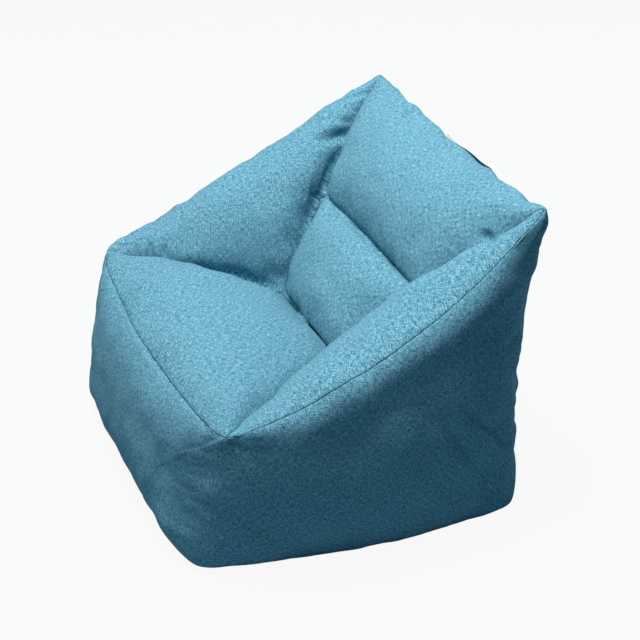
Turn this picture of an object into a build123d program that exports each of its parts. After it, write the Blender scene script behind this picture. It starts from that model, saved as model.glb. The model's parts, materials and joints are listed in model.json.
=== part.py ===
from build123d import *
import os

# Bean bag armchair: a sewn fabric cover of crowned panels around a bead-filled liner.
# Millimetres, +Z up, floor at z = 0. The chair faces -Y, and left and right are the
# sitter's, so left is +X. The origin is on the floor, under the middle of the chair.

# Corners of the cover, where three or more seams meet
base_front_half_width = 400
base_front_reach = 390
base_rear_half_width = 430
base_rear_reach = 318
front_half_width = 412
front_reach = 342
front_height = 334
back_half_width = 385
back_reach = 343
back_height = 688
crease_half_width = 188
crease_setback = 14
crease_height = 274
waist_half_width = 268
waist_setback = 150
waist_height = 462

# How far a seam bows from the straight line between its corners, at its middle
base_front_bow = 23
base_side_bow = 33
front_edge_bow = 27
front_edge_sag = 7
arm_top_bow = 53
arm_top_sag = 34
back_top_sag = 14
rear_corner_pinch = 8
waist_bow = 9

# How far the fill crowns each panel outward at its middle, and how full it is beside
# its seams: 2 is a plain arc and more is fuller
front_crown = 57
side_crown = 40
rear_crown = 38
seat_crown = 70
lower_back_crown = 48
upper_back_crown = 52
arm_crown = 60
fullness = 2.5

# Layers from the outside in
cover_thickness = 1.6
liner_room = 7.0
liner_thickness = 0.6
fill_room = 3.0

# Cover zip, in the flat strip along the foot of the rear panel
strip_height = 92
zip_height = 50
zip_length = 440
tape_width = 14
tape_thickness = 0.8
tape_tail = 12
cord_width = 1.4
chain_thickness = 2.6
tooth_pitch = 4.0
tooth_reach = 3.1
tooth_gap = 0.4
tooth_tip_width = 1.85
tooth_root_width = 1.5
stop_length = 3.0

# Slider of the cover zip
slider_length = 17
slider_nose_width = 11
slider_tail_width = 10
slider_plate = 1.2
slider_corner = 1.5
flange_width = 0.9
wedge_length = 8
bridge_length = 7.5
bridge_width = 2.2
bridge_thickness = 1.2
bridge_window = 2.4
bridge_corner = 1.5

# Pull tab on the slider's bridge
pull_length = 34
pull_eye_width = 7.5
pull_grip_width = 10
pull_thickness = 1.4

# Zip of the liner, below the cover zip
liner_zip_height = 26
liner_zip_length = 320
liner_tape_width = 9
liner_tape_thickness = 0.6
liner_chain_thickness = 1.4
liner_chain_width = 4.2
liner_slider_length = 11
liner_slider_width = 8
liner_slider_plate = 0.9
liner_wedge_length = 5

# Facets along each side of a panel: they keep the model light
cover_facets = 12
inner_facets = 6

# Clearances of both zips
chain_play = 0.3
tape_play = 0.2
wedge_play = 0.25
flange_play = 0.45
slot_play = 0.9
pull_play = 0.5

# Webbing carry handle, sewn down flat along the top of the rear panel
handle_length = 200
handle_offset = 50
handle_width = 26
handle_thickness = 2.2
handle_proud = 4
handle_play = 0.6

# Share of the rear corner seams' height that lies below the zip strip's top seam
strip_share = strip_height / back_height


# ---------------------------------------------------------------- corners and seams
def arc(t):
    """Share of a seam's bow at t along it."""
    return 4 * t * (1 - t)


def side_corners(side, out):
    """Corners on one side of the chair; out is +1 on the left and -1 on the right."""
    return {
        (side, "base_front"): Vector(out * base_front_half_width, -base_front_reach, 0),
        (side, "base_rear"): Vector(out * base_rear_half_width, base_rear_reach, 0),
        (side, "front"): Vector(out * front_half_width, -front_reach, front_height),
        (side, "top"): Vector(out * back_half_width, back_reach, back_height),
        (side, "crease"): Vector(out * crease_half_width, crease_setback, crease_height),
        (side, "waist"): Vector(out * waist_half_width, waist_setback, waist_height),
    }


# The rear corner seams bow forward so that the strip at their foot stands upright
rear_corner_bow = (back_reach - base_rear_reach) / (4 * (1 - strip_share))


def side_bows(side, out):
    """How far the middle of each bowed seam on one side moves off its straight line."""
    rear_corner = Vector(-out * rear_corner_pinch, -rear_corner_bow, 0)
    return {
        ((side, "base_front"), (side, "base_rear")): Vector(out * base_side_bow, 0, 0),
        ((side, "front"), (side, "top")): Vector(out * arm_top_bow, 0, -arm_top_sag),
        ((side, "base_rear"), (side, "top")): rear_corner,
        ((side, "top"), (side, "strip")): rear_corner * (1 - strip_share) ** 2,
    }


corners = side_corners("left", 1) | side_corners("right", -1)
bows = side_bows("left", 1) | side_bows("right", -1)
bows[("right", "base_front"), ("left", "base_front")] = Vector(0, -base_front_bow, 0)
bows[("right", "front"), ("left", "front")] = Vector(0, -front_edge_bow, -front_edge_sag)
bows[("right", "waist"), ("left", "waist")] = Vector(0, waist_bow, 0)
bows[("right", "top"), ("left", "top")] = Vector(0, 0, -back_top_sag)


def bow(start, end):
    """Bow of the seam between two corners, at its middle."""
    return bows.get((start, end), bows.get((end, start), Vector(0, 0, 0)))


for side in ("left", "right"):
    foot, top = corners[side, "base_rear"], corners[side, "top"]
    strip_corner = foot + (top - foot) * strip_share
    strip_corner += bow((side, "base_rear"), (side, "top")) * arc(strip_share)
    corners[side, "strip"] = strip_corner


# ---------------------------------------------------------------- panels
def between_sides(low, high):
    """Corners of a panel that runs across the chair, counterclockwise from outside."""
    return [("right", low), ("left", low), ("left", high), ("right", high)]


def on_side(side, *names):
    """Corners of a panel on one side, counterclockwise from outside on the left."""
    return [(side, name) for name in names]


side_names = ("base_front", "base_rear", "top", "front")
arm_names = ("crease", "front", "top", "waist")
loops = {
    "front_panel": between_sides("base_front", "front"),
    "rear_zip_strip": between_sides("strip", "base_rear"),
    "rear_panel": between_sides("top", "strip"),
    "base_panel": between_sides("base_rear", "base_front"),
    "seat_panel": between_sides("front", "crease"),
    "lower_back_panel": between_sides("crease", "waist"),
    "upper_back_panel": between_sides("waist", "top"),
    "left_side_panel": on_side("left", *side_names),
    "right_side_panel": on_side("right", *side_names),
    "left_arm_inner_panel": on_side("left", *arm_names),
    "right_arm_inner_panel": on_side("right", *arm_names),
}
crowns = {
    "front_panel": front_crown,
    "rear_panel": rear_crown,
    "seat_panel": seat_crown,
    "lower_back_panel": lower_back_crown,
    "upper_back_panel": upper_back_crown,
    "left_side_panel": side_crown,
    "right_side_panel": side_crown,
    "left_arm_inner_panel": arm_crown,
    "right_arm_inner_panel": arm_crown,
}

# The three panels whose planes fix how a corner moves when the cover is sunk inward;
# the upright strip stands for the whole rear, so that it stays flat at every depth
corner_planes = {
    "base_front": ("base_panel", "front_panel", "{}_side_panel"),
    "base_rear": ("base_panel", "rear_zip_strip", "{}_side_panel"),
    "front": ("seat_panel", "front_panel", "{}_side_panel"),
    "top": ("upper_back_panel", "rear_zip_strip", "{}_side_panel"),
    "crease": ("seat_panel", "lower_back_panel", "{}_arm_inner_panel"),
    "waist": ("lower_back_panel", "upper_back_panel", "{}_arm_inner_panel"),
}


def facing(name):
    """Outward direction of a panel, square to its two diagonals."""
    a, b, c, d = (corners[corner] for corner in loops[name])
    outward = (c - a).cross(d - b).normalized()
    return -outward if name.startswith("right") else outward


def mitre(side, corner):
    """Inward shift of a corner, per millimetre of depth, that sinks three panels evenly."""
    one, two, three = (facing(name.format(side)) for name in corner_planes[corner])
    return (two.cross(three) + three.cross(one) + one.cross(two)) / one.dot(two.cross(three))


mitres = {(side, name): mitre(side, name) for side in ("left", "right") for name in corner_planes}
for side in ("left", "right"):
    foot = mitres[side, "base_rear"]
    mitres[side, "strip"] = foot + (mitres[side, "top"] - foot) * strip_share


def between(values, u, v):
    """Value at u, v between those of a panel's four corners."""
    a, b, c, d = values
    return (a * (1 - u) + b * u) * (1 - v) + (d * (1 - u) + c * u) * v


def swell(t):
    """Share of a panel's crown at t across it."""
    return 1 - abs(2 * t - 1) ** fullness


def panel_point(name, u, v, depth):
    """Point of a panel's surface, crowned outward and sunk inward by a depth."""
    loop = loops[name]
    low, right, high, left = (bow(loop[k - 1], loop[k]) for k in (1, 2, 3, 0))
    point = between([corners[corner] for corner in loop], u, v)
    point += (low * (1 - v) + high * v) * arc(u) + (left * (1 - u) + right * u) * arc(v)
    full = swell(u) * swell(v)
    outward = facing(name)
    edge_shift = between([mitres[corner] for corner in loop], u, v)
    shift = edge_shift * (1 - full) + outward * full
    return point + outward * (crowns.get(name, 0) * full) - shift * depth


# ---------------------------------------------------------------- facets
def even_stops(count):
    return [k / count for k in range(count + 1)]


def wall_stops(count):
    """Stops up the front and the sides, with one level with the zip strip's top seam."""
    return [0] + [strip_share + (1 - strip_share) * stop for stop in even_stops(count)]


def panel_grid(name, depth, count):
    """Points of a panel's surface; neighbours share the points along their seam."""
    v_stops = even_stops(count)
    if name == "front_panel" or name.endswith("side_panel"):
        v_stops = wall_stops(count)
    if name == "rear_zip_strip":
        v_stops = [0, 1]
    return [[panel_point(name, u, v, depth) for v in v_stops] for u in even_stops(count)]


def triangle(*points):
    return Face(Wire.make_polygon(points))


def cell(a, b, c, d):
    """Two triangles that meet along the shorter diagonal, as the next panel's do."""
    if (c - a).length < (d - b).length:
        return [triangle(a, b, c), triangle(a, c, d)]
    return [triangle(a, b, d), triangle(b, c, d)]


def facets(grid):
    faces = []
    for near, far in zip(grid, grid[1:]):
        for k in range(len(near) - 1):
            faces += cell(near[k], far[k], far[k + 1], near[k + 1])
    return faces


def rim(grid):
    """Closed loop of the points round a grid's edge."""
    start = [column[0] for column in grid]
    end = [column[-1] for column in grid]
    return start + grid[-1][1:-1] + end[::-1] + grid[0][-2::-1]


def surface(name, grid, hole=()):
    """Faces of a panel: one flat face where nothing crowns it, or else facets."""
    if name in crowns:
        return facets(grid)
    return [Face(Wire.make_polygon(rim(grid)[:-1]), [Wire.make_polygon(loop) for loop in hole])]


def layer(name, outer, inner):
    """Closed solid between two grids, with mitred walls along its seams."""
    faces = surface(name, outer) + surface(name, inner) + facets([rim(outer), rim(inner)])
    return Solid(Shell(faces))


def cover_panel(name):
    outer = panel_grid(name, 0, cover_facets)
    return layer(name, outer, panel_grid(name, cover_thickness, cover_facets))


def skin(depth, slot=()):
    """Faces of the whole cover sunk inward by a depth, with a slot through its rear strip."""
    faces = []
    for name in loops:
        hole = slot if name == "rear_zip_strip" else ()
        faces += surface(name, panel_grid(name, depth, inner_facets), hole)
    return faces


def bag(outer_depth, inner_depth, slot):
    """Thin-walled bag between two depths; slot is its opening's loop at each depth."""
    outer_loop, inner_loop = slot
    faces = skin(outer_depth, [outer_loop]) + skin(inner_depth, [inner_loop])
    tunnel = [outer_loop + outer_loop[:1], inner_loop + inner_loop[:1]]
    return Solid(Shell(faces + facets(tunnel)))


# ---------------------------------------------------------------- zips
# A zip is built flat, with X along it from its closed end, Y across it and Z outward.
# Its z = 0 is the outside of its tapes.
def zip_place(depth, height):
    """Plane of a zip whose tapes have their outside at a depth below the rear strip."""
    return Plane(origin=(0, base_rear_reach - depth, height), x_dir=(-1, 0, 0), z_dir=(0, 1, 0))


def mirror_across(shape):
    return mirror(shape, Plane.XZ)


def block(x, y, z):
    """Box from three (low, high) pairs."""
    size = [high - low for low, high in (x, y, z)]
    middle = [(high + low) / 2 for low, high in (x, y, z)]
    return Pos(*middle) * Box(*size)


def chain_levels(tape, chain):
    """Inner and outer level of a chain whose cords grip the middle of the tape."""
    return (-(tape + chain) / 2, (chain - tape) / 2)


def slider_body(length, nose, tail, plate, wedge, levels, tape, cord_room, cord):
    """Two plates with flanges that guide the cords and a wedge that parts the teeth.

    levels are the chain's two faces, and cord_room is half the gap between the cords.
    """
    outline = Polygon(
        (0, -nose / 2), (length, -tail / 2), (length, tail / 2), (0, nose / 2), align=None
    )
    outline = fillet(outline.vertices(), slider_corner)
    inside = levels[0] - chain_play
    outside = levels[1] + chain_play
    body = Pos(0, 0, outside) * extrude(outline, plate)
    body += Pos(0, 0, inside - plate) * extrude(outline, plate)
    half = cord_room - wedge_play
    parter = Polygon(
        (0, -half), (wedge / 2, -half), (wedge, 0), (wedge / 2, half), (0, half), align=None
    )
    body += Pos(0, 0, inside) * extrude(parter, outside - inside)
    run = (slider_corner, length - slider_corner)
    guide = (cord_room + cord + flange_play, cord_room + cord + flange_play + flange_width)
    flange = block(run, guide, (tape_play, outside))
    flange += block(run, guide, (inside, -tape - tape_play))
    return body + flange + mirror_across(flange)


def bridge(length, roof):
    """Arch along the slider that the pull hangs on."""
    height = bridge_window + bridge_thickness
    arch = Pos(length / 2, 0, roof + height / 2) * Box(bridge_length, bridge_width, height)
    arch = fillet(arch.edges().filter_by(Axis.Y).group_by(Axis.Z)[-1], bridge_corner)
    window = Pos(length / 2, 0, roof + bridge_window / 2) * Box(
        bridge_length - 2 * bridge_thickness, bridge_width, bridge_window
    )
    return arch - window


def toothed_cord(start, stop, phase):
    """Edge cord of one tape with the row of dovetail teeth that grows from it."""
    points = [(-zip_length / 2, cord_face + cord_width), (-zip_length / 2, cord_face)]
    tip = cord_face - tooth_reach
    for k in range(int((stop - start - phase) / tooth_pitch)):
        x = start + phase + (k + 0.5) * tooth_pitch
        points += [
            (x - tooth_root_width / 2, cord_face),
            (x - tooth_tip_width / 2, tip),
            (x + tooth_tip_width / 2, tip),
            (x + tooth_root_width / 2, cord_face),
        ]
    points += [(zip_length / 2, cord_face), (zip_length / 2, cord_face + cord_width)]
    return Pos(0, 0, cover_levels[0]) * extrude(Polygon(*points, align=None), chain_thickness)


# Cover zip: its tapes are sewn to the inside of the rear strip, either side of its slot
cover_zip = zip_place(cover_thickness, zip_height)
cover_levels = chain_levels(tape_thickness, chain_thickness)
cord_face = (tooth_reach + tooth_gap) / 2
tape_edge = cord_face + cord_width
slot_half = slider_nose_width / 2 + slot_play
tape_ends = (-zip_length / 2 - tape_tail, zip_length / 2 + tape_tail)
top_stop_start = -zip_length / 2 + slot_play
slider_nose = top_stop_start + stop_length + chain_play
chain_start = slider_nose + wedge_length + chain_play
chain_stop = zip_length / 2 - slot_play - (slider_length - wedge_length)

cover_slot = block((-zip_length / 2, zip_length / 2), (-slot_half, slot_half), (0, cover_thickness))
upper_tape = block(tape_ends, (tape_edge, tape_edge + tape_width), (-tape_thickness, 0))
upper_teeth = toothed_cord(chain_start, chain_stop, 0)
lower_teeth = toothed_cord(chain_start, chain_stop, tooth_pitch / 2)
upper_stop = block(
    (top_stop_start, top_stop_start + stop_length), (wedge_play, cord_face), cover_levels
)
bottom_stop = block(
    (chain_stop, chain_stop + stop_length), (-cord_face, cord_face), cover_levels
)

slider_roof = cover_levels[1] + chain_play + slider_plate
slider = slider_body(
    slider_length,
    slider_nose_width,
    slider_tail_width,
    slider_plate,
    wedge_length,
    cover_levels,
    tape_thickness,
    cord_face,
    cord_width,
) + bridge(slider_length, slider_roof)
slider = Pos(slider_nose, 0, 0) * slider

# Pull: a tab whose eye goes round the bridge and turns on the bar at its end
pull_pivot_x = slider_nose + slider_length / 2
pull_pivot_z = slider_roof + pull_play + pull_thickness / 2
eye_reach = (bridge_length**2 / 4 + (bridge_window + bridge_thickness) ** 2) ** 0.5 + pull_play
eye_half = bridge_width / 2 + pull_play
tab_outline = Polygon(
    (0, -pull_eye_width / 2),
    (0, pull_eye_width / 2),
    (-pull_length, pull_grip_width / 2),
    (-pull_length, -pull_grip_width / 2),
    align=None,
)
grip_corners = tab_outline.vertices().group_by(Axis.X)[0]
tab_outline = fillet(grip_corners, pull_grip_width / 3)
pull = Pos(0, 0, -pull_thickness / 2) * extrude(tab_outline, pull_thickness)
pull -= block(
    (-eye_reach, -pull_thickness / 2), (-eye_half, eye_half), (-pull_thickness, pull_thickness)
)
pull += Rot(90, 0, 0) * Cylinder(pull_thickness / 2, pull_eye_width)
pull = Pos(pull_pivot_x, 0, pull_pivot_z) * pull

# Liner zip: sewn to the inside of the liner, its slider plain and without a pull
liner_depth = cover_thickness + liner_room
liner_inside = liner_depth + liner_thickness
liner_zip = zip_place(liner_inside, liner_zip_height)
liner_levels = chain_levels(liner_tape_thickness, liner_chain_thickness)
liner_chain_half = liner_chain_width / 2
liner_slot_half = liner_slider_width / 2 + slot_play
liner_nose = -liner_zip_length / 2 + slot_play
liner_chain_start = liner_nose + liner_wedge_length + chain_play
liner_chain_stop = liner_zip_length / 2 - slot_play - (liner_slider_length - liner_wedge_length)
liner_tape_ends = (-liner_zip_length / 2 - tape_tail, liner_zip_length / 2 + tape_tail)

slot_end = liner_zip_length / 2
slot_corners = [
    (-slot_end, -liner_slot_half),
    (slot_end, -liner_slot_half),
    (slot_end, liner_slot_half),
    (-slot_end, liner_slot_half),
]
liner_slot = [
    [liner_zip.from_local_coords((x, y, z)) for x, y in slot_corners] for z in (liner_thickness, 0)
]
liner_tape = block(
    liner_tape_ends,
    (liner_chain_half, liner_chain_half + liner_tape_width),
    (-liner_tape_thickness, 0),
)
liner_cord = block(
    (-liner_zip_length / 2, liner_zip_length / 2),
    (liner_chain_half - cord_width, liner_chain_half),
    liner_levels,
)
liner_chain = block(
    (liner_chain_start, liner_chain_stop), (-liner_chain_half, liner_chain_half), liner_levels
)
half_zip = liner_tape + liner_cord
liner_zip_chain = liner_chain + half_zip + mirror_across(half_zip)
liner_slider = Pos(liner_nose, 0, 0) * slider_body(
    liner_slider_length,
    liner_slider_width,
    liner_slider_width,
    liner_slider_plate,
    liner_wedge_length,
    liner_levels,
    liner_tape_thickness,
    liner_chain_half - cord_width,
    cord_width,
)


# ---------------------------------------------------------------- carry handle
def carry_handle():
    """Strap that lies on the outside of the rear panel, from just above its top seam down."""
    drop = back_height - strip_height
    middle = 0.5 + handle_offset / (2 * back_half_width)
    half = handle_length / (4 * back_half_width)
    low, high = -handle_proud / drop, (handle_width - handle_proud) / drop
    inner = [
        [panel_point("rear_panel", middle + half * (2 * t - 1), v, 0) for v in (low, high)]
        for t in even_stops(cover_facets)
    ]
    across = inner[-1][0] - inner[0][0]
    down = inner[0][-1] - inner[0][0]
    outward = across.cross(down).normalized()
    inner = [[point + outward * handle_play for point in column] for column in inner]
    outer = [[point + outward * handle_thickness for point in column] for column in inner]
    return layer("rear_panel", outer, inner)


# ---------------------------------------------------------------- export
nodes = {name: cover_panel(name) for name in loops}
nodes["rear_zip_strip"] -= cover_zip * cover_slot
nodes["zip_tape_upper"] = cover_zip * upper_tape
nodes["zip_tape_lower"] = cover_zip * mirror_across(upper_tape)
nodes["zip_teeth_upper"] = cover_zip * upper_teeth
nodes["zip_teeth_lower"] = cover_zip * mirror_across(lower_teeth)
nodes["zip_top_stops"] = cover_zip * Compound([upper_stop, mirror_across(upper_stop)])
nodes["zip_bottom_stop"] = cover_zip * bottom_stop
nodes["zip_slider"] = cover_zip * slider
nodes["zip_pull"] = cover_zip * pull
nodes["carry_handle"] = carry_handle()
nodes["inner_liner"] = bag(liner_depth, liner_inside, liner_slot)
nodes["liner_zip_chain"] = liner_zip * liner_zip_chain
nodes["liner_zip_slider"] = liner_zip * liner_slider
nodes["bead_fill"] = Solid(Shell(skin(liner_inside + fill_room)))

os.makedirs("parts", exist_ok=True)
for name, shape in nodes.items():
    export_step(shape, f"parts/{name}.step")
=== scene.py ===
import json
import math

import bmesh
import bpy
import numpy as np
from mathutils import Matrix, Vector, kdtree, noise
from mathutils.bvhtree import BVHTree

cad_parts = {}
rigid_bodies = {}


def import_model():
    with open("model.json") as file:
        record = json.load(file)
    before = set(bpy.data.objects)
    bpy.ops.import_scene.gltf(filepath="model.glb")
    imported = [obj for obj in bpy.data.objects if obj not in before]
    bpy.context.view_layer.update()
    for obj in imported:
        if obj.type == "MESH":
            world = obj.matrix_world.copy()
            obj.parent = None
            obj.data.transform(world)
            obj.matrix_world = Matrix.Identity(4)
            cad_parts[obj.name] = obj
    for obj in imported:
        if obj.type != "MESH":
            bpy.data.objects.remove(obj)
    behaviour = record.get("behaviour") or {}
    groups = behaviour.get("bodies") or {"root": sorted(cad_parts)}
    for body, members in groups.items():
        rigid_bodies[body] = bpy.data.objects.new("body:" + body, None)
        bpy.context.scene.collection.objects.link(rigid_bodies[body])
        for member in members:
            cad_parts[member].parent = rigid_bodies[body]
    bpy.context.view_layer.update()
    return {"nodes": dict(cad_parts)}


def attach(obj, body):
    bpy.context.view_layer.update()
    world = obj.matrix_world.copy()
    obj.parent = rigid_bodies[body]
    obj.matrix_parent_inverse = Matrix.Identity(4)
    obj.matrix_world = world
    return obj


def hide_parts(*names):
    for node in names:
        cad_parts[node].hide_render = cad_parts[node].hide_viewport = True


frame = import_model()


# ------------------------------------------------------------- the cover's cut and shape
# The cover is eleven panels of woven upholstery cloth sewn edge to edge into one bag.
# Its shape starts as a cage of the twelve corners where the seams meet, with one face
# for each panel, which is divided into cloth cells and bowed and crowned like the cut.
bm = bmesh.new()
corners = {}
for side, out in (("left", 1), ("right", -1)):
    corners[side, "base_front"] = bm.verts.new((out * 0.388, -0.414, 0))
    corners[side, "base_rear"] = bm.verts.new((out * 0.462, 0.318, 0))
    corners[side, "front"] = bm.verts.new((out * 0.416, -0.348, 0.339))
    corners[side, "top"] = bm.verts.new((out * 0.394, 0.350, 0.698))
    corners[side, "crease"] = bm.verts.new((out * 0.188, 0.014, 0.274))
    corners[side, "waist"] = bm.verts.new((out * 0.268, 0.150, 0.462))

across = {
    "front_panel": ("base_front", "front"),
    "seat_panel": ("front", "crease"),
    "lower_back_panel": ("crease", "waist"),
    "upper_back_panel": ("waist", "top"),
    "rear_panel": ("top", "base_rear"),
    "base_panel": ("base_rear", "base_front"),
}
beside = {
    "side_panel": ("base_front", "base_rear", "top", "front"),
    "arm_inner_panel": ("crease", "front", "top", "waist"),
}
crown = {
    "front_panel": 0.037,
    "rear_panel": 0.026,
    "seat_panel": 0.067,
    "lower_back_panel": 0.048,
    "upper_back_panel": 0.052,
    "left_side_panel": 0.050,
    "right_side_panel": 0.050,
    "left_arm_inner_panel": 0.060,
    "right_arm_inner_panel": 0.060,
    "base_panel": 0,
}
bows = {}
for side, out in (("left", 1), ("right", -1)):
    bows[frozenset([(side, "base_front"), (side, "base_rear")])] = Vector((out * 0.030, 0, 0))
    bows[frozenset([(side, "front"), (side, "top")])] = Vector((out * 0.053, 0, -0.037))
    bows[frozenset([(side, "base_rear"), (side, "top")])] = Vector((-out * 0.008, -0.006, 0))
bows[frozenset([("right", "base_front"), ("left", "base_front")])] = Vector((0, -0.010, 0))
bows[frozenset([("right", "front"), ("left", "front")])] = Vector((0, -0.027, -0.007))
bows[frozenset([("right", "waist"), ("left", "waist")])] = Vector((0, 0.009, 0))
bows[frozenset([("right", "top"), ("left", "top")])] = Vector((0, 0, -0.014))

loops = {name: [("right", a), ("left", a), ("left", b), ("right", b)] for name, (a, b) in across.items()}
for name, ring in beside.items():
    loops["left_" + name] = [("left", corner) for corner in ring]
    loops["right_" + name] = [("right", corner) for corner in ring]
panel_names = list(loops)

corner_place = {key: vert.co.copy() for key, vert in corners.items()}


def facing(name):
    """Outward direction of a panel, square to its diagonals."""
    a, b, c, d = (corner_place[key] for key in loops[name])
    outward = (c - a).cross(d - b).normalized()
    return -outward if name.startswith("right") else outward


# "cut" tells where a point lies between a panel's four corners, and "grain" where it
# lies on the cloth, in metres, with the warp running up the panel.
cut = bm.loops.layers.uv.new("cut")
grain = bm.loops.layers.uv.new("grain")
square = [(0, 0), (1, 0), (1, 1), (0, 1)]
for number, (name, ring) in enumerate(loops.items()):
    order = (0, 3, 2, 1) if name.startswith("right") else (0, 1, 2, 3)
    face = bm.faces.new([corners[ring[k]] for k in order])
    face.material_index = number
    first = corner_place[ring[0]]
    weft = (corner_place[ring[1]] - first).normalized()
    warp = facing(name).cross(weft)
    for loop, k in zip(face.loops, order):
        loop[cut].uv = square[k]
        offset = corner_place[ring[k]] - first
        loop[grain].uv = (offset.dot(weft), offset.dot(warp))


def ring_of(start):
    """Edges that lie opposite each other in a row of four-sided faces."""
    found, todo = {start}, [start]
    while todo:
        edge = todo.pop()
        for face in edge.link_faces:
            opposite = next(e for e in face.edges if not set(e.verts) & set(edge.verts))
            if opposite not in found:
                found.add(opposite)
                todo.append(opposite)
    return found


rear_rows, strip_rows = 45, 6
for start, end, count in (
    (("left", "front"), ("right", "front"), 44),
    (("left", "base_front"), ("left", "front"), rear_rows),
    (("left", "front"), ("left", "top"), 40),
    (("left", "front"), ("left", "crease"), 26),
):
    ends = [min(bm.verts, key=lambda v: (v.co - corner_place[key]).length) for key in (start, end)]
    seam_edge = bm.edges.get(ends)
    bmesh.ops.subdivide_edges(bm, edges=list(ring_of(seam_edge)), cuts=count - 1, use_grid_fill=True)

# The lowest rows of the rear are a panel of their own, the flat strip with the zip
strip_share = strip_rows / rear_rows
rear_number = panel_names.index("rear_panel")
strip_number = len(panel_names)
panel_names.append("rear_zip_strip")
for face in bm.faces:
    down = sum(loop[cut].uv.y for loop in face.loops) / 4
    if face.material_index == rear_number and down > 1 - strip_share:
        face.material_index = strip_number


# Each point moves from the flat cut to the sewn shape: seams bow, and the fill crowns
# the panels between them.
def seam_bow(name, k):
    """Bow of a panel's k-th seam."""
    ring = loops[name]
    return bows.get(frozenset((ring[k], ring[(k + 1) % 4])), Vector((0, 0, 0)))


def swell(t, fullness):
    """Share of a panel's crown at t across it: the fuller, the steeper beside its seams."""
    return 1 - abs(2 * t - 1) ** fullness


def sewn_place(name, u, v):
    """Where the point at u, v of a panel lies once the cover is sewn and filled."""
    a, b, c, d = (corner_place[key] for key in loops[name])
    flat = a * (1 - u) * (1 - v) + b * u * (1 - v) + c * u * v + d * (1 - u) * v
    arch_u, arch_v = 4 * u * (1 - u), 4 * v * (1 - v)
    bowed = seam_bow(name, 0) * arch_u * (1 - v) + seam_bow(name, 2) * arch_u * v
    bowed += seam_bow(name, 1) * arch_v * u + seam_bow(name, 3) * arch_v * (1 - u)
    if name == "rear_panel":
        v = min(v / (1 - strip_share), 1)
    fullness = 2.3 if name.endswith("side_panel") else 3.5
    return flat + bowed + facing(name) * (crown[name] * swell(u, fullness) * swell(v, fullness))


def points_of(mesh):
    """The mesh's points as rows of x, y and z."""
    found = np.zeros(len(mesh.vertices) * 3)
    mesh.vertices.foreach_get("co", found)
    return found.reshape(-1, 3)


def edges_of(mesh):
    """The mesh's edges as rows of two point numbers."""
    found = np.zeros(len(mesh.edges) * 2, int)
    mesh.edges.foreach_get("vertices", found)
    return found.reshape(-1, 2)


bm.verts.index_update()
sewn = np.zeros(len(bm.verts))
for face in bm.faces:
    name = "rear_panel" if face.material_index == strip_number else panel_names[face.material_index]
    for loop in face.loops:
        u, v = loop[cut].uv
        loop.vert.co = sewn_place(name, u, v)
        at_strip = name == "rear_panel" and abs(v - 1 + strip_share) < 1e-4
        if at_strip or min(u, v, 1 - u, 1 - v) < 1e-4:
            sewn[loop.vert.index] = 1
mesh = bpy.data.meshes.new("cover_bag")
bm.to_mesh(mesh)
bm.free()
for name in panel_names:
    mesh.materials.append(bpy.data.materials.new(name))
bag = bpy.data.objects.new("cover_bag", mesh)
bpy.context.scene.collection.objects.link(bag)

# The fill rounds the upright corners and the foot: there the cloth is evened out.
place = points_of(mesh)
pairs = edges_of(mesh)
valence = np.bincount(pairs.ravel(), minlength=len(place))[:, None]


def evened(place):
    """Each point at the middle of its neighbours."""
    ends = np.concatenate([pairs, pairs[:, ::-1]])
    total = [np.bincount(ends[:, 0], place[ends[:, 1], axis], len(place)) for axis in range(3)]
    return np.stack(total, axis=1) / valence


def near_line(place, low, high, reach):
    """1 on the line between two points, falling to 0 at a distance from it."""
    low, high = np.array(low), np.array(high)
    along = np.clip((place - low) @ (high - low) / max((high - low) @ (high - low), 1e-9), 0, 1)
    gap = np.linalg.norm(place - low - along[:, None] * (high - low), axis=1)
    return np.clip(1 - gap / reach, 0, 1)


corner_reach, side_reach, front_reach = 0.09, 0.06, 0.055
below_front, below_top = Vector((0, 0, 0.08)), Vector((0, 0, 0.22))
soft = np.zeros(len(place))
for side in ("left", "right"):
    base_front, base_rear, front, top = (
        corner_place[side, name] for name in ("base_front", "base_rear", "front", "top")
    )
    soft = np.maximum(soft, near_line(place, base_front, front - below_front, corner_reach))
    soft = np.maximum(soft, near_line(place, base_rear, top - below_top, corner_reach))
    soft = np.maximum(soft, near_line(place, base_front, base_rear, side_reach))
foot_ends = [corner_place[side, "base_front"] for side in ("left", "right")]
soft = np.maximum(soft, near_line(place, *foot_ends, front_reach))
soft[(place[:, 1] > 0.317) & (np.abs(place[:, 0]) < 0.30) & (place[:, 2] < 0.12)] = 0
for _ in range(22):
    place += (evened(place) - place) * (0.7 * soft[:, None])
# The seams' own corners are turned blunt
blunt = np.zeros(len(place))
for key in (("left", "top"), ("right", "top"), ("left", "front"), ("right", "front")):
    blunt = np.maximum(blunt, near_line(place, corner_place[key], corner_place[key], 0.04))
for _ in range(2):
    place += (evened(place) - place) * (0.5 * blunt[:, None])
place[:, 2] = np.maximum(place[:, 2], 0)
mesh.vertices.foreach_set("co", place.ravel())
mesh.update()

# Each panel's cut is as large as its sewn and crowned shape, before the cloth is
# simulated and creased
cut_area = {}
for face in mesh.polygons:
    name = mesh.materials[face.material_index].name
    cut_area[name] = cut_area.get(name, 0) + face.area

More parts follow.
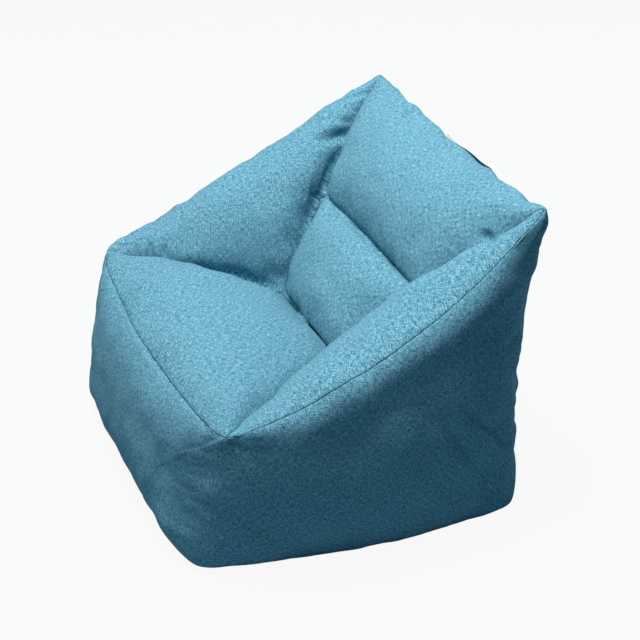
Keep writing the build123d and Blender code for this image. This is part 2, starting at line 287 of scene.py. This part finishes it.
# The filled bag is simulated as cloth: the beads press out like a pressure, the seams
# are held and each panel has a little more cloth than its outline, so it crumples
# beside them. The foot stands on the floor and the zip's strip is kept flat.
start = points_of(mesh)
foot = np.clip((0.012 - start[:, 2]) / 0.012, 0, 1)
strip = (start[:, 1] > 0.3175) & (start[:, 2] < 0.095)
held = np.maximum(foot, np.maximum(strip, 0.5 * sewn))
held_group = bag.vertex_groups.new(name="held")
spare_group = bag.vertex_groups.new(name="spare cloth")
for index, weight in enumerate(held):
    held_group.add([index], float(weight), "REPLACE")
    spare_group.add([index], 1.0 - float(sewn[index]), "REPLACE")
cloth = bag.modifiers.new("cloth", "CLOTH")
settings = cloth.settings
settings.quality = 6
settings.mass = 0.003
settings.air_damping = 2
settings.tension_stiffness = 45
settings.compression_stiffness = 45
settings.shear_stiffness = 15
settings.bending_stiffness = 0.4
settings.vertex_group_mass = "held"
settings.pin_stiffness = 1
settings.vertex_group_shrink = "spare cloth"
settings.shrink_min = 0.0
settings.shrink_max = -0.07
settings.use_pressure = True
settings.uniform_pressure_force = 16
settings.effector_weights.gravity = 0
frames = 25
for number in range(1, frames + 1):
    bpy.context.scene.frame_set(number)
bent = bag.evaluated_get(bpy.context.evaluated_depsgraph_get()).to_mesh()
moved = points_of(bent) - start
bag.modifiers.clear()
bpy.context.scene.frame_set(1)
length = np.linalg.norm(moved, axis=1, keepdims=True)
# The cloth moves 30 mm at most, so that it stays around its liner
cap = 0.03
moved *= cap * np.tanh(length / cap) / np.maximum(length, 1e-9)
mesh.vertices.foreach_set("co", (start + moved).ravel())
mesh.update()


# The simulated bag is divided twice more, with the seams kept, for the fine creases.
pairs = edges_of(mesh)
hard = sewn[pairs].min(axis=1) * (1 - soft[pairs].max(axis=1))
mesh.attributes.new("crease_edge", "FLOAT", "EDGE").data.foreach_set("value", hard.astype(np.float32))
mesh.attributes.new("rounded", "FLOAT", "POINT").data.foreach_set("value", soft.astype(np.float32))
mesh.attributes.new("sewn", "FLOAT", "POINT").data.foreach_set("value", sewn.astype(np.float32))
divide = bag.modifiers.new("divide", "SUBSURF")
divide.levels = divide.render_levels = 2
divide.uv_smooth = "NONE"
fine = bpy.data.meshes.new_from_object(bag.evaluated_get(bpy.context.evaluated_depsgraph_get()))
bag.modifiers.clear()
coarse = bag.data
bag.data = fine


# ------------------------------------------------------------- inner liner and bead fill
# A liner bag of thin nonwoven polypropylene hangs loose inside the cover and holds the
# fill, expanded polystyrene beads, which take the liner's shape.
def linear(colour):
    """A shader's colour from an sRGB hex value."""
    parts = [int(colour[k : k + 2], 16) / 255 for k in (1, 3, 5)]
    return [p / 12.92 if p <= 0.04045 else ((p + 0.055) / 1.055) ** 2.4 for p in parts] + [1]


def add(tree, kind, links=(), **values):
    """Adds a node; values set its fields or sockets, and links join sockets to its inputs."""
    node = tree.nodes.new(kind)
    for name, value in values.items():
        if hasattr(node, name):
            setattr(node, name, value)
        else:
            node.inputs[name.replace("_", " ")].default_value = value
    for socket, source in dict(links).items():
        tree.links.new(source, node.inputs[socket])
    return node


def new_material(name, colour, **values):
    """A material of one colour with a Principled shader, its node tree and that shader."""
    made = bpy.data.materials.new(name)
    made.use_nodes = True
    shader = made.node_tree.nodes["Principled BSDF"]
    shader.inputs["Base Color"].default_value = linear(colour)
    for socket, value in values.items():
        shader.inputs[socket.replace("_", " ")].default_value = value
    return made, made.node_tree, shader


def emboss(tree, shader, height, depth, strength=1.0):
    """Gives a shader a relief of a height from 0 to 1, in metres when it is at 1."""
    bump = add(tree, "ShaderNodeBump", {"Height": height}, Strength=strength, Distance=depth)
    tree.links.new(bump.outputs[0], shader.inputs["Normal"])


def new_piece(name, mesh, material):
    """An object for a finished mesh that moves with the cover."""
    mesh.name = name
    mesh.materials.clear()
    mesh.materials.append(material)
    mesh.shade_smooth()
    piece = bpy.data.objects.new(name, mesh)
    bpy.context.scene.collection.objects.link(piece)
    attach(piece, "cover")
    return piece


def open_slot(bm, half_length, height, half_height):
    """Cuts a zip's slot through the flat strip at the foot of the rear."""
    near = [f for f in bm.faces if f.normal.y > 0.99 and abs(f.calc_center_median().z - height) < 0.03]
    for spot, way in (
        ((half_length, 0, 0), (1, 0, 0)),
        ((-half_length, 0, 0), (1, 0, 0)),
        ((0, 0, height + half_height), (0, 0, 1)),
        ((0, 0, height - half_height), (0, 0, 1)),
    ):
        geometry = near + list({e for f in near for e in f.edges}) + list({v for f in near for v in f.verts})
        cut_through = bmesh.ops.bisect_plane(bm, geom=geometry, dist=1e-6, plane_co=spot, plane_no=way)
        near = [item for item in cut_through["geom"] if isinstance(item, bmesh.types.BMFace)]
    inside = []
    for face in near:
        middle = face.calc_center_median()
        if abs(middle.x) < half_length and abs(middle.z - height) < half_height:
            inside.append(face)
    bmesh.ops.delete(bm, geom=inside, context="FACES")


polypropylene, tree, shader = new_material("Nonwoven polypropylene liner", "#DDE1E3", Roughness=0.75)
grid = add(tree, "ShaderNodeTexCoord").outputs["Object"]
# Bonding points 1.5 mm apart
points = add(tree, "ShaderNodeTexVoronoi", {"Vector": grid}, Scale=1 / 0.0015)
emboss(tree, shader, points.outputs["Distance"], 0.0002)

polystyrene, tree, shader = new_material("Expanded polystyrene beads", "#F3F4F2", Roughness=0.6)
grid = add(tree, "ShaderNodeTexCoord").outputs["Object"]
# Beads 3 to 5 mm across
beads = add(tree, "ShaderNodeTexVoronoi", {"Vector": grid}, Scale=1 / 0.004)
dome = add(tree, "ShaderNodeMapRange", {0: beads.outputs["Distance"]}, From_Max=0.8, To_Min=1.0, To_Max=0.0)
emboss(tree, shader, dome.outputs[0], 0.0015)

# ------------------------------------------------------------------- the cover's cloth
# Upholstery cloth of melange polyester yarn, woven plain. Each yarn is spun from light
# and dark teal fibres, so that short flecks run along both yarns, and its face is matt.
cloth_face, tree, shader = new_material(
    "Melange polyester upholstery weave", "#4B9AB8", Roughness=1.0, Sheen_Weight=0.04, Sheen_Roughness=0.4
)
shader.inputs["Specular IOR Level"].default_value = 0.1
shader.inputs["Sheen Tint"].default_value = linear("#9CCBDD")
pattern = add(tree, "ShaderNodeUVMap", uv_map="grain").outputs[0]
# The yarns lie 1.6 mm apart and are drawn 2.2 mm apart, so that the weave shows
yarn_pitch, fleck_length = 0.0022, 0.009
split = add(tree, "ShaderNodeSeparateXYZ", {0: pattern})
waves = []
for axis in ("X", "Y"):
    turns = add(tree, "ShaderNodeMath", {0: split.outputs[axis]}, operation="MULTIPLY")
    turns.inputs[1].default_value = math.pi / yarn_pitch
    waves.append(add(tree, "ShaderNodeMath", {0: turns.outputs[0]}, operation="SINE").outputs[0])
over = add(tree, "ShaderNodeMath", {0: waves[0], 1: waves[1]}, operation="MULTIPLY")
above = add(tree, "ShaderNodeMath", {0: over.outputs[0]}, operation="GREATER_THAN")
above.inputs[1].default_value = 0
backs = [add(tree, "ShaderNodeMath", {0: wave}, operation="ABSOLUTE").outputs[0] for wave in waves]
height = add(tree, "ShaderNodeMix", {0: above.outputs[0], 2: backs[0], 3: backs[1]}).outputs[0]
flecks = []
for stretch in ((1 / yarn_pitch, 1 / fleck_length, 1), (1 / fleck_length, 1 / yarn_pitch, 1)):
    run = add(tree, "ShaderNodeMapping", {0: pattern}, Scale=stretch)
    fleck = add(tree, "ShaderNodeTexNoise", {0: run.outputs[0]}, Scale=1.0, Detail=2.0, Roughness=0.6)
    flecks.append(fleck.outputs[0])
fleck = add(tree, "ShaderNodeMix", {0: above.outputs[0], 2: flecks[0], 3: flecks[1]}).outputs[0]
tone = add(tree, "ShaderNodeValToRGB", {0: fleck})
ramp = tone.color_ramp
ramp.elements[0].position, ramp.elements[0].color = 0.33, linear("#195B76")
ramp.elements[1].position, ramp.elements[1].color = 0.70, linear("#AECED8")
ramp.elements.new(0.5).color = linear("#5A99AE")
cloudy = add(tree, "ShaderNodeTexNoise", {0: pattern}, Scale=9.0, Detail=3.0)
shade = add(tree, "ShaderNodeMapRange", {0: cloudy.outputs[0]}, To_Min=0.90, To_Max=1.08)
tinted = add(tree, "ShaderNodeVectorMath", {0: tone.outputs[0]}, operation="SCALE")
tree.links.new(shade.outputs[0], tinted.inputs["Scale"])
tree.links.new(tinted.outputs[0], shader.inputs["Base Color"])
relief = add(tree, "ShaderNodeMath", {0: height, 1: fleck}, operation="ADD")
emboss(tree, shader, relief.outputs[0], 0.0005, 0.5)


# ------------------------------------------------------------------- the cover's panels
# Each panel is one cut piece of the cloth, 1.6 mm thick. Loose beads fill it unevenly,
# into soft lumps, and the seams that join it to its neighbours gather it into puckers.
place = points_of(fine)
outward = np.zeros(place.size)
fine.vertex_normals.foreach_get("vector", outward)
outward = outward.reshape(-1, 3)
on_seam, rounded = np.zeros(len(place)), np.zeros(len(place))
fine.attributes["sewn"].data.foreach_get("value", on_seam)
fine.attributes["rounded"].data.foreach_get("value", rounded)
lines = edges_of(fine)
lines = lines[on_seam[lines].min(axis=1) > 0.999]
pairs = edges_of(fine)
valence = np.bincount(pairs.ravel(), minlength=len(place))[:, None]
for _ in range(24):
    outward = evened(outward)
outward /= np.linalg.norm(outward, axis=1, keepdims=True)
thread = [place[lines[:, 0]] * (1 - t) + place[lines[:, 1]] * t for t in (0, 0.25, 0.5, 0.75)]
thread = np.concatenate(thread)
seam_tree = kdtree.KDTree(len(thread))
for number, point in enumerate(thread.tolist()):
    seam_tree.insert(point, number)
seam_tree.balance()
nearest = np.array([seam_tree.find(point)[0] for point in place.tolist()])
gap = np.linalg.norm(place - nearest, axis=1)


def ripples(points, size):
    """Smooth noise, from about -1 to 1, whose lumps are about two sizes apart."""
    return np.array([noise.noise(point) for point in (points / size).tolist()])


# Each crease is (start, end, depth, half width), in metres: the cloth sinks along it
# and stands up a little on both its sides.
creases = [
    ((-0.368, -0.240, 0.372), (-0.345, -0.254, 0.330), 0.010, 0.012),
    ((-0.341, -0.214, 0.370), (-0.316, -0.230, 0.326), 0.011, 0.014),
    ((-0.390, -0.270, 0.358), (-0.365, -0.284, 0.328), 0.006, 0.010),
    ((-0.378, 0.175, 0.593), (-0.330, 0.250, 0.602), 0.011, 0.013),
    ((-0.325, 0.155, 0.568), (-0.318, 0.255, 0.581), 0.015, 0.020),
    ((-0.374, 0.255, 0.632), (-0.370, 0.320, 0.655), 0.008, 0.011),
    ((-0.225, 0.070, 0.385), (-0.320, 0.230, 0.575), 0.010, 0.045),
    ((-0.250, 0.330, 0.682), (-0.228, 0.300, 0.655), 0.006, 0.009),
    ((-0.176, 0.328, 0.678), (-0.155, 0.296, 0.655), 0.006, 0.010),
    ((-0.112, 0.328, 0.676), (-0.088, 0.300, 0.655), 0.006, 0.009),
    ((0.006, 0.333, 0.676), (0.034, 0.308, 0.655), 0.006, 0.010),
    ((0.371, 0.247, 0.632), (0.300, 0.262, 0.605), 0.010, 0.015),
    ((0.050, 0.151, 0.522), (0.066, 0.139, 0.468), 0.006, 0.013),
    ((-0.110, 0.148, 0.512), (-0.098, 0.139, 0.468), 0.005, 0.012),
    ((0.340, 0.380, 0.205), (0.460, 0.200, 0.272), 0.026, 0.030),
    ((0.410, 0.350, 0.360), (0.410, 0.350, 0.090), 0.027, 0.060),
    ((-0.300, 0.345, 0.690), (-0.050, 0.345, 0.685), -0.006, 0.040),
    ((-0.300, -0.130, 0.370), (-0.130, 0.005, 0.335), 0.020, 0.085),
    ((0.395, 0.360, 0.700), (0.395, 0.350, 0.600), -0.014, 0.040),
    ((-0.395, 0.360, 0.700), (-0.395, 0.350, 0.600), -0.010, 0.040),
    ((0.450, -0.220, 0.345), (0.455, 0.220, 0.560), -0.019, 0.060),
    ((0.395, 0.335, 0.420), (0.450, 0.250, 0.430), 0.009, 0.018),
    ((0.495, 0.080, 0.330), (0.475, 0.200, 0.150), 0.010, 0.020),
    ((0.490, 0.140, 0.340), (0.450, 0.260, 0.190), 0.009, 0.017),
    ((0.490, 0.020, 0.250), (0.480, 0.130, 0.120), 0.008, 0.022),
    ((0.490, -0.090, 0.210), (0.470, 0.060, 0.090), 0.006, 0.024),
    ((-0.310, -0.170, 0.300), (-0.190, 0.020, 0.278), 0.014, 0.045),
    ((-0.410, -0.370, 0.270), (-0.390, -0.410, 0.080), 0.009, 0.070),
    ((0.200, -0.430, 0.060), (0.400, -0.430, 0.060), -0.008, 0.060),
    ((-0.170, 0.018, 0.276), (0.190, 0.018, 0.276), 0.013, 0.020),
    ((-0.010, 0.020, 0.280), (0.170, 0.020, 0.280), 0.010, 0.026),
    ((-0.255, 0.153, 0.462), (0.255, 0.153, 0.462), 0.008, 0.016),
]


def crease_height(start, end, depth, width):
    """How far a crease moves each point outward."""
    start, end = np.array(start), np.array(end)
    along = np.clip((place - start) @ (end - start) / ((end - start) @ (end - start)), 0, 1)
    away = np.linalg.norm(place - start - along[:, None] * (end - start), axis=1) / width
    return -depth * np.sin(np.pi * (0.1 + 0.8 * along)) * (1 - 0.9 * away**2) * np.exp(-(away**2))


height = 0.0016 * ripples(nearest, 0.014) * np.exp(-gap / 0.012)
height += 0.0042 * ripples(nearest + outward * 0.01, 0.034) * np.exp(-gap / 0.04)
height += 0.0060 * ripples(nearest + place * 0.15, 0.075) * np.exp(-gap / 0.09)
height -= 0.0040 * np.exp(-gap / 0.008)
height *= 1 - 0.8 * rounded
height += 0.0055 * ripples(place, 0.085) + 0.0016 * ripples(place, 0.035)
for line in creases:
    height += crease_height(*line)
# The zip's strip and the foot stay calm
strip_front, strip_top = 0.29, 0.094
beyond_strip = np.maximum(strip_front - place[:, 1], place[:, 2] - strip_top)
height *= np.clip(beyond_strip / 0.05, 0, 1) * np.clip(place[:, 2] / 0.03, 0, 1)
place += outward * height[:, None]
fine.vertices.foreach_set("co", place.ravel())
fine.attributes.new("outward", "FLOAT_VECTOR", "POINT").data.foreach_set("vector", outward.ravel())
fine.update()
bag_tree = BVHTree.FromPolygons(place.tolist(), [list(face.vertices) for face in fine.polygons])

# The liner and the fill follow the cover's creases, and lie deeper under its corners
surface = place[: len(coarse.vertices)]
depth_way = outward[: len(coarse.vertices)]
tips = np.zeros(len(surface))
for key, tip in corner_place.items():
    if key[1] in ("top", "front"):
        tips = np.maximum(tips, near_line(surface, tip, tip, 0.12))
surface = surface + (np.array([0, 0, 0.30]) - surface) * (0.3 * tips[:, None])
away = np.maximum(0.30 - surface[:, 1], surface[:, 2] - strip_top)
slack = 0.008 * np.clip(away / 0.05, 0, 1)
slack *= np.clip(surface[:, 2] / 0.05, 0, 1)
for name, depth, material, slot in (
    ("inner_liner", 0.0087, polypropylene, "liner_fabric"),
    ("bead_fill", 0.0126, polystyrene, "beads"),
):
    sunk = surface - depth_way * (depth + slack)[:, None]
    for number, point in enumerate(sunk):
        hit, way, _, _ = bag_tree.find_nearest(Vector(point))
        if (Vector(point) - hit).dot(way) > -0.8 * depth:
            sunk[number] = hit - way * depth
    shell = coarse.copy()
    shell.vertices.foreach_set("co", sunk.ravel())
    if name == "inner_liner":
        bm = bmesh.new()
        bm.from_mesh(shell)
        bm.normal_update()
        open_slot(bm, 0.160, 0.026, 0.0049)
        bm.to_mesh(shell)
        bm.free()
    piece = new_piece(name + "_soft", shell, material)
    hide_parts(name)
    if name == "inner_liner":
        wall = piece.modifiers.new("wall", "SOLIDIFY")
        wall.thickness, wall.offset = 0.0006, -1

bpy.context.view_layer.objects.active = bag
bag.select_set(True)
bpy.ops.object.mode_set(mode="EDIT")
bpy.ops.mesh.select_all(action="SELECT")
bpy.ops.mesh.separate(type="MATERIAL")
bpy.ops.object.mode_set(mode="OBJECT")
zip_level, slot_half_length, slot_half_height = 0.050, 0.220, 0.0064
for part in [obj for obj in bpy.context.scene.objects if obj.name.startswith("cover_bag")]:
    name = part.data.materials[0].name
    panel = part.data.copy()
    bpy.data.objects.remove(part)
    bm = bmesh.new()
    bm.from_mesh(panel)
    bmesh.ops.inset_region(bm, faces=bm.faces[:], thickness=0.0018, use_boundary=True)
    outward_of = bm.verts.layers.float_vector["outward"]
    rounded_of = bm.verts.layers.float["rounded"]
    for vert in bm.verts:
        if vert.is_boundary:
            vert.co -= vert[outward_of] * 0.0013 * max(0, 1 - 1.5 * vert[rounded_of])
    if name == "rear_zip_strip":
        open_slot(bm, slot_half_length, zip_level, slot_half_height)
    bm.to_mesh(panel)
    bm.free()
    piece = new_piece(name + "_cloth", panel, cloth_face)
    wall = piece.modifiers.new("wall", "SOLIDIFY")
    wall.thickness, wall.offset = 0.0016, -1
    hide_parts(name)


# ------------------------------------------------------------------------ the cover's zip
# A chain of moulded plastic teeth on two woven tapes, sewn behind the slot of the rear
# strip with a row of stitches above and below it. Slider and pull are die-cast zinc.
tape, tree, shader = new_material("Woven polyester zip tape", "#1C4558", Roughness=0.85)
grid = add(tree, "ShaderNodeTexCoord").outputs["Object"]
# Ribs of the tape's weave 0.8 mm apart
ribs = add(tree, "ShaderNodeTexWave", {0: grid}, bands_direction="X", Scale=0.1 * math.pi / 0.0008)
emboss(tree, shader, ribs.outputs["Fac"], 0.0002)

acetal, tree, shader = new_material("Moulded acetal zip teeth", "#173947", Roughness=0.38)
grid = add(tree, "ShaderNodeTexCoord").outputs["Object"]
grain_noise = add(tree, "ShaderNodeTexNoise", {0: grid}, Scale=1 / 0.0012, Detail=2.0)
emboss(tree, shader, grain_noise.outputs[0], 0.00008)

zinc, tree, shader = new_material("Die-cast zinc, tumbled and nickel plated", "#9DA1A4", Metallic=1.0)
grid = add(tree, "ShaderNodeTexCoord").outputs["Object"]
worn = add(tree, "ShaderNodeTexNoise", {0: grid}, Scale=1 / 0.006, Detail=4.0)
dull = add(tree, "ShaderNodeMapRange", {0: worn.outputs[0]}, To_Min=0.24, To_Max=0.42)
tree.links.new(dull.outputs[0], shader.inputs["Roughness"])

nylon, tree, shader = new_material("Nylon coil zip of the liner", "#D8DBDA", Roughness=0.5)
grid = add(tree, "ShaderNodeTexCoord").outputs["Object"]
# Coils 1.2 mm apart
coils = add(tree, "ShaderNodeTexWave", {0: grid}, bands_direction="X", Scale=0.1 * math.pi / 0.0012)
emboss(tree, shader, coils.outputs["Fac"], 0.0003)

for material, names in (
    (tape, ("zip_tape_upper", "zip_tape_lower")),
    (acetal, ("zip_teeth_upper", "zip_teeth_lower", "zip_top_stops", "zip_bottom_stop")),
    (zinc, ("zip_slider", "zip_pull")),
    (nylon, ("liner_zip_chain", "liner_zip_slider")),
):
    for name in names:
        frame["nodes"][name].data.materials.clear()
        frame["nodes"][name].data.materials.append(material)


def stitch(bm, path, pitch, length, thickness):
    """Lays stitches along a path of points: short rounded lengths of thread, end to end."""
    for start, end in zip(path, path[1:]):
        way = end - start
        count = max(1, round(way.length / pitch))
        turn = way.to_track_quat("X", "Z").to_matrix().to_4x4()
        size = Matrix.Diagonal((length / 2, thickness / 2, thickness / 2, 1))
        for number in range(count):
            spot = Matrix.Translation(start + way * ((number + 0.5) / count))
            bmesh.ops.create_uvsphere(bm, u_segments=6, v_segments=5, radius=1, matrix=spot @ turn @ size)


thread_shade, tree, shader = new_material("Polyester sewing thread", "#2E7A98", Roughness=0.7)
grid = add(tree, "ShaderNodeTexCoord").outputs["Object"]
# Plies of the thread 0.4 mm apart
plies = add(tree, "ShaderNodeTexWave", {0: grid}, bands_direction="DIAGONAL", Scale=0.1 * math.pi / 0.0004)
emboss(tree, shader, plies.outputs["Fac"], 0.0001)
bm = bmesh.new()
# The stitches run 10.5 mm above and below the zip's middle
low, high, end, proud = zip_level - 0.0105, zip_level + 0.0105, 0.2235, 0.3182
ring = [(-end, low), (end, low), (end, high), (-end, high), (-end, low)]
stitch(bm, [Vector((x, proud, z)) for x, z in ring], 0.0038, 0.0030, 0.0007)
sewing = bpy.data.meshes.new("zip_topstitch")
bm.to_mesh(sewing)
bm.free()
new_piece("zip_topstitch", sewing, thread_shade)


# ---------------------------------------------------------------------- carry handle
# A strap of dark polypropylene webbing, 26 mm wide, lies along the top of the rear panel
# and is sewn down at its ends with a crossed box of stitches. Its edge shows over the seam.
def on_rear(x, down, off):
    """The point of the rear panel at x and a distance below its top seam, and off it."""
    seam = seam_tree.find((x, corner_place["left", "top"].y, corner_place["left", "top"].z))[0]
    hit = bag_tree.ray_cast(Vector((x, 0.6, seam.z - max(down, 0.006))), Vector((0, -1, 0)))[0]
    over = min(max(0.006 - down, 0) / 0.008, 1)
    return Vector((x, hit.y + (seam.y - hit.y) * over * 0.8 + off, seam.z - down))


webbing, tree, shader = new_material("Polypropylene webbing", "#16303C", Roughness=0.8)
grid = add(tree, "ShaderNodeTexCoord").outputs["Object"]
# Ribs of the webbing run along it, 1.3 mm apart
ribs = add(tree, "ShaderNodeTexWave", {0: grid}, bands_direction="Z", Scale=0.1 * math.pi / 0.0013)
emboss(tree, shader, ribs.outputs["Fac"], 0.0003)
bm = bmesh.new()
bmesh.ops.create_grid(bm, x_segments=50, y_segments=6, size=1)
middle, half_length, half_width = 0.050, 0.100, 0.013
for vert in bm.verts:
    along, over = vert.co.x, vert.co.y
    down = 0.0135 - half_width * over + 0.008 * (along - 0.5) ** 2
    vert.co = on_rear(middle + half_length * along, down, 0.0012)
bmesh.ops.recalc_face_normals(bm, faces=bm.faces[:])
if sum(face.normal.y for face in bm.faces) < 0:
    bmesh.ops.reverse_faces(bm, faces=bm.faces[:])
strap = bpy.data.meshes.new("carry_handle")
bm.to_mesh(strap)
bm.free()
handle = new_piece("carry_handle_webbing", strap, webbing)
wall = handle.modifiers.new("wall", "SOLIDIFY")
wall.thickness, wall.offset = 0.0016, 1
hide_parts("carry_handle")
bm = bmesh.new()
for middle in (-0.038, 0.138):
    box = [(-0.009, 0.001), (0.009, 0.001), (0.009, 0.018), (-0.009, 0.018)]
    box = [(middle + x, down) for x, down in box]
    for path in (box + box[:1], box[::2], box[1::2]):
        stitch(bm, [on_rear(x, down, 0.0031) for x, down in path], 0.0032, 0.0026, 0.0007)
sewing = bpy.data.meshes.new("handle_stitching")
bm.to_mesh(sewing)
bm.free()
new_piece("handle_stitching", sewing, thread_shade)


# --------------------------------------------------------------- floor, light and camera
# A plain pale floor that keeps a faint shadow, a white surround, and four soft lamps.
pale, tree, shader = new_material("Pale studio floor", "#8FA9B3", Roughness=0.9)
light_path = add(tree, "ShaderNodeLightPath")
glow = add(tree, "ShaderNodeEmission", Strength=1.0)
seen = add(tree, "ShaderNodeMath", {0: light_path.outputs["Is Camera Ray"]}, operation="MULTIPLY")
seen.inputs[1].default_value = 0.93
both = add(tree, "ShaderNodeMixShader", {0: seen.outputs[0], 1: shader.outputs[0], 2: glow.outputs[0]})
tree.links.new(both.outputs[0], tree.nodes["Material Output"].inputs[0])
bm = bmesh.new()
bmesh.ops.create_grid(bm, x_segments=1, y_segments=1, size=12)
ground = bpy.data.meshes.new("floor")
bm.to_mesh(ground)
bm.free()
ground.materials.append(pale)
floor = bpy.data.objects.new("floor", ground)
bpy.context.scene.collection.objects.link(floor)

world = bpy.data.worlds.new("studio")
world.use_nodes = True
tree = world.node_tree
light_path = add(tree, "ShaderNodeLightPath")
ambient = tree.nodes["Background"]
ambient.inputs["Color"].default_value = linear("#50D0FF")
ambient.inputs["Strength"].default_value = 0.10
white = add(tree, "ShaderNodeBackground", Strength=1.0)
white.inputs["Color"].default_value = (1, 1, 1, 1)
seen = light_path.outputs["Is Camera Ray"]
both = add(tree, "ShaderNodeMixShader", {0: seen, 1: ambient.outputs[0], 2: white.outputs[0]})
tree.links.new(both.outputs[0], tree.nodes["World Output"].inputs[0])
bpy.context.scene.world = world

for name, spot, size, power in (
    ("key lamp", (0.08, -0.41, 3.2), 1.2, 109),
    ("far lamp", (-2.0, -0.9, 2.6), 1.4, 22),
    ("front lamp", (-1.2, -3.0, 2.2), 1.6, 2),
    ("back lamp", (-0.9, 3.2, 1.7), 1.6, 22),
):
    lamp_data = bpy.data.lights.new(name, "AREA")
    lamp_data.shape = "DISK"
    lamp_data.size, lamp_data.energy = size, power
    lamp = bpy.data.objects.new(name, lamp_data)
    lamp.location = spot
    aim = Vector(spot) - Vector((0, 0, 0.3))
    lamp.rotation_euler = aim.to_track_quat("Z", "Y").to_euler()
    bpy.context.scene.collection.objects.link(lamp)

eye = bpy.data.cameras.new("camera")
eye.lens, eye.sensor_width = 88.54, 36
camera = bpy.data.objects.new("camera", eye)
azimuth, elevation = math.radians(67.4), math.radians(30.6)
level = math.cos(elevation)
back = Vector((math.sin(azimuth) * level, -math.cos(azimuth) * level, math.sin(elevation)))
target, distance = Vector((0.0122, 0.0281, 0.3032)), 3.469
camera.location = target + back * distance
camera.rotation_euler = back.to_track_quat("Z", "Y").to_euler()
bpy.context.scene.collection.objects.link(camera)
bpy.context.scene.camera = camera
bpy.context.scene.view_settings.view_transform = "Standard"
